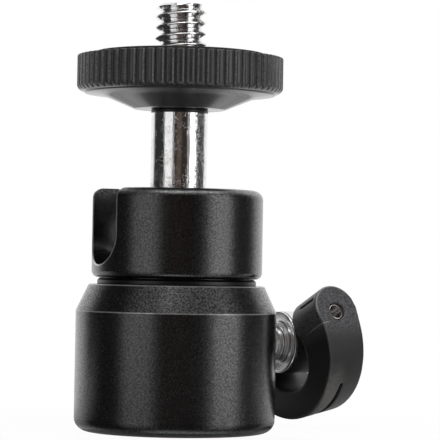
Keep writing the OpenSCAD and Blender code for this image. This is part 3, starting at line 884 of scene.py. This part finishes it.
handleShape = {
    "loop": 9.6, "loopRise": 0.35, "half": 9.85, "tip": 3.0, "tipRise": 0.3, "tipBlend": 16.0, "tipDrop": 1.3,
    "outer": 3.08, "inner": 2.5, "taper": 5.0, "opening": 4.45, "openingDepth": 5.9, "draft": 0.016,
    "notchAngle": 138.0, "notchFrom": 6.1, "notchTo": 9.2, "notchWidth": 0.36, "notchDepth": 0.32,
    "pinHole": 1.05, "slotWidth": 0.54, "slotDepth": 0.5, "slotAngle": 64.0,
    "voxel": 0.115, "soften": 5,
    "roughness": 0.42, "ior": 1.54, "lift": 1.0,
    # the edge, patch and crease colours below are painted highlights
    "paleSkin": (0.082, 0.08, 0.088), "paintedEdgeHighlight": (0.24, 0.24, 0.24),
    "paintedSheenSkin": (0.11, 0.107, 0.103), "paintedCreaseHighlight": (0.22, 0.22, 0.22),
}


def handleMaterial():
    s = handleShape
    material, shader, wire, place, skin, cloud, colour, rough = plasticMaterial("handlePlastic", s)
    x, y, z = parts(wire, place)
    # along the pin, up and out from the body, and the last two again as the arms lean
    turn = math.radians(screwShape["turn"])
    lean = math.radians(screwShape["lean"])
    along = (z - screwShape["height"]) * math.sin(turn) - y * math.cos(turn)
    up = y * math.sin(turn) + (z - screwShape["height"]) * math.cos(turn)
    out = x - screwShape["pinAt"]
    armUp = up * math.cos(lean) - out * math.sin(lean)
    armOut = up * math.sin(lean) + out * math.cos(lean)
    # a lighter, speckled skin towards the tips
    speck = noise(wire, place, 4.2, 2.0, 0.7).over(0.38, 0.62)
    pale = up.over(-3.6, -0.8) * (0.12 + 0.88 * speck)
    colour = pale.mixed(colour, s["paleSkin"])
    # a painted highlight along the edge round the outer faces of the tips
    rise = up - s["tipRise"]
    ring = wire.length(out, rise)
    edge = ring.line(s["tip"] - 0.1, 0.16) * abs(along).over(9.55, 9.75) * up.over(-1.5, 0.5)
    colour = (edge * 0.8).mixed(colour, s["paintedEdgeHighlight"])
    # a painted highlight on the loop's rim, beside its slot
    loopUp = armUp - s["loopRise"]
    rim = wire.length(along, loopUp).over(9.2, 9.5)
    paintedSheen = rim * loopUp.over(-5.5, -8.5) * armOut.over(0.8, -1.2) * (0.5 + 0.5 * speck)
    colour = (paintedSheen * 0.9).mixed(colour, s["paintedSheenSkin"])
    # a painted highlight along the crease where each tip's round meets the arm
    creaseHighlight = armUp.line(s["tipRise"] - s["tipDrop"], 0.09)
    creaseHighlight = creaseHighlight * armOut.over(-1.2, -2.0) * abs(along).over(5.5, 7.5)
    colour = creaseHighlight.mixed(colour, s["paintedCreaseHighlight"])
    finishPlastic(shader, wire, colour, rough, skin * 0.6 + cloud)
    return material


def makeHandle():
    s = handleShape
    # turns an outline's x out along the pin frame's z, and its depth along the pin
    edgeOn = Matrix(((0, 0, 1), (0, 1, 0), (1, 0, 0)))
    blend = math.radians(s["tipBlend"])
    half, loop, rise = s["half"], s["loop"], s["loopRise"]
    blendY = rise - loop * math.sin(blend) + (half - loop * math.cos(blend)) / math.tan(blend)
    arcX, arcY = loop * math.cos(blend), rise - loop * math.sin(blend)
    front = prismShape((half, 6), [(half, blendY), (arcX, arcY), (0, rise, -(180 - 2 * s["tipBlend"]), 60),
                                   (-half, blendY), (-half, 6)], -8, 8)
    piece = asObject("dHandle", front)
    low = rise - loop - 1
    # the side outline: x away from the body, y up the arms
    tip, first, last = s["tip"], math.radians(7), math.pi + math.asin(s["tipDrop"] / s["tip"])
    lift = s["tipRise"]
    side = prismShape((s["outer"], low),
                      [(s["outer"], lift - tip), (tip * math.cos(first), lift + tip * math.sin(first)),
                       (0, lift, math.degrees(last - first), 44), (-s["inner"], -s["taper"]),
                       (-s["inner"], low)], -12, 12)
    transform(side, edgeOn)
    bmesh.ops.recalc_face_normals(side, faces=side.faces)
    combine(piece, asObject("side", side), "INTERSECT")
    o = s["opening"]
    lowY = o - s["openingDepth"]
    window = prismShape((o, 8), [(o, lowY), (0, lowY, -180, 40), (-o, 8)], -9, 9)
    for v in window.verts:
        v.co.x *= 1 - s["draft"] * (v.co.z + s["inner"])
    combine(piece, asObject("window", window))
    combine(piece, asObject("bore", alongX(rodShape(s["pinHole"], -12, 12))))
    # a short groove across the land of each tip
    for end in (1, -1):
        w, d = s["notchWidth"] / 2, s["notchDepth"]
        groove = prismShape((tip - d, -w), [(tip + 1, -w), (tip + 1, w), (tip - d, w)],
                            s["notchFrom"], s["notchTo"])
        for v in groove.verts:
            v.co.z *= end
        transform(groove, edgeOn)
        rotate(groove, -s["notchAngle"], "X")
        bmesh.ops.translate(groove, vec=(0, lift, 0), verts=groove.verts)
        bmesh.ops.recalc_face_normals(groove, faces=groove.faces)
        combine(piece, asObject("groove", groove))
    # the slot in the loop's rim
    h = s["slotAngle"] / 2
    start = math.radians(-90 + h)
    outR, inR = loop + 1, loop - s["slotDepth"]
    slot = prismShape((outR * math.cos(start), rise + outR * math.sin(start)),
                      [(0, rise, -2 * h, 24), (-inR * math.cos(start), rise + inR * math.sin(start)),
                       (0, rise, 2 * h, 24)], -s["slotWidth"] / 2, s["slotWidth"] / 2)
    combine(piece, asObject("slot", slot))
    even = piece.modifiers.new("even", "REMESH")
    even.mode = "VOXEL"
    even.voxel_size = s["voxel"]
    applyModifiers(piece)
    bm = bmesh.new()
    bm.from_mesh(piece.data)
    for _ in range(s["soften"]):
        bmesh.ops.smooth_vert(bm, verts=bm.verts, factor=0.5, use_axis_x=True, use_axis_y=True,
                              use_axis_z=True)
    transform(bm, pinFrame(screwShape["lean"]))
    bmesh.ops.recalc_face_normals(bm, faces=bm.faces)
    bm.to_mesh(piece.data)
    bm.free()
    settle(piece, "handle", "handle", ["handle"], sharp=180, weighted=False)


materials["handle"] = handleMaterial()
makeHandle()

pinShape = {"radius": 1.0, "half": 9.55, "edge": 0.1, "bore": 0.78, "boreDepth": 1.6}


def makePin():
    # a tubular pin, rolled over a little at its ends
    s = pinShape
    e, r, half, bore = s["edge"], s["radius"], s["half"], s["bore"]
    floor = half - s["boreDepth"]
    bm = turnedShape((0, -floor), [(bore, -floor), (bore, -half + e), (bore + e, -half + e, -90, 4),
                                   (r - e, -half), (r - e, -half + e, 90, 4), (r, half - e),
                                   (r - e, half - e, 90, 4), (bore + e, half), (bore + e, half - e, -90, 4),
                                   (bore, floor), (0, floor)],
                     closed=False, steps=64)
    settle(asObject("lockPin", alongPin(bm)), "lock_screw", "pinSteel", ["lock_pin"])


materials["pinSteel"] = metalMaterial("pinSteel", (0.22, 0.21, 0.2), (0.62, 0.61, 0.6), 0.22)
makePin()

pivotShape = {"inner": 1.0, "outer": 1.9, "low": 3.9, "high": 4.4, "edge": 0.07}
pivotWashers = joinShapes("pivotWashers", *(alongPin(flatWasher(pivotShape, 64), side) for side in (1, -1)))
settle(pivotWashers, "lock_screw", "pinSteel", ["pivot_washers"])
print("lock screw and handle done")


materials["spring"] = metalMaterial("springSteel", (0.2, 0.2, 0.22), (0.36, 0.36, 0.38), 0.32)
materials["brass"] = metalMaterial("turnedBrass", (0.55, 0.4, 0.18), (0.8, 0.6, 0.3), 0.25, turned=0)
materials["discBrass"] = metalMaterial("discBrass", (0.55, 0.4, 0.18), (0.8, 0.6, 0.3), 0.25, turned=2)
materials["pom"] = nylonMaterial("naturalAcetal", (0.7, 0.69, 0.64), (0.84, 0.83, 0.79), 0.4, 1.2)

# the CAD's own shapes that need no more than a finish
kept = {
    "lock_bush": "brass", "collar_clip": "spring", "seat_ring": "pom", "disc_bush": "discBrass",
    "wedge": "steel", "nose_clip": "spring", "lifter": "steel", "cup_spring": "spring", "ball_cup": "pom",
}
for node, finish in kept.items():
    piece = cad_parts[node]
    piece.data.materials.clear()
    piece.data.materials.append(materials[finish])
print("finishes made:", len(materials))


view = {
    "place": (-0.14596, -0.23358, 0.0204), "azimuth": -32.0, "yaw": 1.053, "pitch": 1.033, "roll": 1.0,
    "lens": 188.2,
}
cameraSide = math.radians(-90 + view["azimuth"])     # the direction from the object to the camera


def makeCamera():
    a, b, g, r = (math.radians(view[k]) for k in ("azimuth", "yaw", "pitch", "roll"))
    ahead = Vector((-math.sin(a), math.cos(a), 0))
    aside = Vector((math.cos(a), math.sin(a), 0))
    forward = (ahead * math.cos(b) + aside * math.sin(b)) * math.cos(g) + Vector(zAxis) * math.sin(g)
    right = aside * math.cos(b) - ahead * math.sin(b)
    up = right.cross(forward)
    camRight = right * math.cos(r) + up * math.sin(r)
    camUp = -right * math.sin(r) + up * math.cos(r)
    data = bpy.data.cameras.new("camera")
    data.sensor_width = 36
    data.lens = view["lens"]
    data.clip_start = 0.01
    camera = bpy.data.objects.new("camera", data)
    turn = Matrix((camRight, camUp, -forward)).transposed().to_4x4()
    camera.matrix_world = Matrix.Translation(view["place"]) @ turn
    bpy.context.scene.collection.objects.link(camera)
    bpy.context.scene.camera = camera


makeCamera()

# places on the floor are millimetres: ahead of the object towards the camera, or away from it all round
floorLook = {
    "radius": 130.0, "drop": 0.02, "colour": (0.8, 0.8, 0.8),
    "shown": 0.97, "shownFrom": (20.0, 75.0),             # how white the camera sees it, up to 1 far out
    "mirrorFrom": (-15.0, -60.0),                         # metal sees it white behind the object,
    "dimAside": (70.0, 20.0), "dimFrom": (-60.0, -80.0),  # less so far back in the middle,
    "nearShare": 0.19, "nearFrom": (12.8, 11.8),          # and by this much right under it
    "frontFrom": (-14.0, 2.0),                            # a dark, glossy card lies in front
    "card": (0.03, 0.03, 0.03), "cardSide": (0.6, 0.57, 0.53), "cardFrom": (14.0, 26.0),
    "gloss": 0.75, "glossNear": 0.45, "glossFrom": (13.0, 18.0), "glossRoughness": 0.1,
}


def fromCamera(x, y):
    # how far towards the camera, and how far to its right
    return (x * math.cos(cameraSide) + y * math.sin(cameraSide),
            y * math.cos(cameraSide) - x * math.sin(cameraSide))


def rayKinds(wire):
    # 1 for what the camera sees itself, and 1 for what metal or glass sends on
    path = wire.node("ShaderNodeLightPath").socket.node
    camera, glossy, clear = (Wire(wire.tree, path.outputs[f"Is {kind} Ray"])
                             for kind in ("Camera", "Glossy", "Transmission"))
    return camera, wire.math("MAXIMUM", glossy, clear)


def emptyTree(owner):
    owner.use_nodes = True
    owner.node_tree.nodes.clear()
    return Wire(owner.node_tree)


def makeFloor():
    # a round pale sheet; to the camera it runs into the white backdrop
    s = floorLook
    bm = bmesh.new()
    bmesh.ops.create_circle(bm, cap_ends=True, segments=96, radius=s["radius"] * mm)
    bmesh.ops.translate(bm, vec=(0, 0, -s["drop"] * mm), verts=bm.verts)
    floor = asObject("floor", bm)
    material = bpy.data.materials.new("paleFloor")
    wire = emptyTree(material)
    camera, mirror = rayKinds(wire)
    x, y, z = parts(wire, objectPlace(wire))
    ahead, aside = fromCamera(x, y)
    away = wire.length(x, y)
    shown = s["shown"] + (1 - s["shown"]) * away.over(*s["shownFrom"])
    dim = abs(aside).over(*s["dimAside"]) * ahead.over(*s["dimFrom"])
    near = away.over(*s["nearFrom"]) * s["nearShare"]
    mirrored = wire.math("MAXIMUM", ahead.over(*s["mirrorFrom"]) * (1 - dim), near)
    white = wire.math("MAXIMUM", camera * shown, mirror * mirrored)
    front = ahead.over(*s["frontFrom"])
    card = aside.over(*s["cardFrom"]).mixed(s["card"], s["cardSide"])
    matt = wire.node("ShaderNodeBsdfDiffuse", {}, {"Color": front.mixed(s["colour"], card)})
    gloss = wire.node("ShaderNodeBsdfGlossy", {}, {"Color": (*s["colour"], 1),
                                                   "Roughness": s["glossRoughness"]})
    share = s["glossNear"] + (s["gloss"] - s["glossNear"]) * away.over(*s["glossFrom"])
    sheet = wire.node("ShaderNodeMixShader", {}, {0: front * share, 1: matt, 2: gloss})
    glow = wire.node("ShaderNodeEmission", {}, {"Color": (1, 1, 1, 1), "Strength": 1.0})
    output = wire.tree.nodes.new("ShaderNodeOutputMaterial")
    wire.plug(output.inputs["Surface"], wire.node("ShaderNodeMixShader", {}, {0: white, 1: sheet, 2: glow}))
    floor.data.materials.append(material)


makeFloor()

# angle is from the camera's side of the object, to its right, and rise above the floor; width and height
# are degrees too, as the object sees them; the distance is metres and the level radiance
softboxes = {
    "leftBox": {"angle": -42.5, "rise": 6.0, "distance": 0.6, "width": 47.0, "height": 70.0, "level": 0.25},
    "leftCore": {"angle": -44.0, "rise": 6.0, "distance": 0.58, "width": 34.0, "height": 58.0, "level": 0.69},
    "rightBox": {"angle": 58.5, "rise": 6.0, "distance": 0.6, "width": 47.0, "height": 70.0, "level": 0.25},
    "rightCore": {"angle": 59.5, "rise": 6.0, "distance": 0.58, "width": 32.0, "height": 58.0, "level": 1.56},
    "topBox": {"angle": 34.0, "rise": 75.0, "distance": 0.7, "width": 60.0, "height": 34.0, "level": 2.4},
}
boxAim = Vector((0, 0, 0.025))


def makeSoftbox(name, s):
    towards = cameraSide + math.radians(s["angle"])
    rise = math.radians(s["rise"])
    out = Vector((math.cos(towards) * math.cos(rise), math.sin(towards) * math.cos(rise), math.sin(rise)))
    width, height = (2 * s["distance"] * math.tan(math.radians(s[k] / 2)) for k in ("width", "height"))
    data = bpy.data.lights.new(name, "AREA")
    data.shape = "RECTANGLE"
    data.size = width
    data.size_y = height
    data.energy = s["level"] * math.pi * width * height
    lamp = bpy.data.objects.new(name, data)
    lamp.location = boxAim + out * s["distance"]
    lamp.rotation_euler = out.to_track_quat("Z", "Y").to_euler()
    bpy.context.scene.collection.objects.link(lamp)


for boxName, boxValues in softboxes.items():
    makeSoftbox(boxName, boxValues)

# the shades that metal and the dark finishes mirror; a direction's facing is 1 towards the camera,
# its aside 1 to the camera's right, and its height the sine of its angle
surround = {
    "ambient": (0.35, 0.35, 0.35),
    "left": (0.03, 0.03, 0.03), "right": (0.075, 0.075, 0.075), "rightFrom": (0.0, 0.6),
    "front": (0.036, 0.028, 0.025), "frontFrom": (0.75, 0.9),
    "camera": (0.1, 0.075, 0.065), "cameraFrom": (0.972, 0.994),
    "above": (0.5, 0.5, 0.51), "aboveFrom": (0.55, 0.75), "aboveAside": (-0.98, -0.8),
    "backdrop": (1.0, 1.0, 1.0), "backdropFrom": (-0.42, -0.7),
    "belowDim": 0.92, "belowFrom": (-0.18, -0.3), "belowAside": (0.32, 0.14),
}


def makeWorld():
    s = surround
    world = bpy.data.worlds.new("studio")
    bpy.context.scene.world = world
    wire = emptyTree(world)
    camera, mirror = rayKinds(wire)
    x, y, height = parts(wire, wire.node("ShaderNodeTexCoord", out="Generated"))
    flat = wire.math("SQRT", x * x + y * y + 1e-6)
    facing, aside = (part / flat for part in fromCamera(x, y))
    shade = aside.over(*s["rightFrom"]).mixed(s["left"], s["right"])
    shade = facing.over(*s["frontFrom"]).mixed(shade, s["front"])
    shade = facing.over(*s["cameraFrom"]).mixed(shade, s["camera"])
    shade = (height.over(*s["aboveFrom"]) * aside.over(*s["aboveAside"])).mixed(shade, s["above"])
    below = height.over(*s["belowFrom"]) * abs(aside).over(*s["belowAside"])
    behind = facing.over(*s["backdropFrom"]) * (1 - s["belowDim"] * below)
    shade = behind.mixed(shade, s["backdrop"])
    lookup = mirror.mixed(s["ambient"], shade)
    lookup = camera.mixed(lookup, (1, 1, 1))
    background = wire.node("ShaderNodeBackground", {}, {"Color": lookup, "Strength": 1.0})
    output = wire.tree.nodes.new("ShaderNodeOutputWorld")
    wire.plug(output.inputs["Surface"], background)


makeWorld()
bpy.context.scene.view_settings.view_transform = "Standard"
print("stage done")
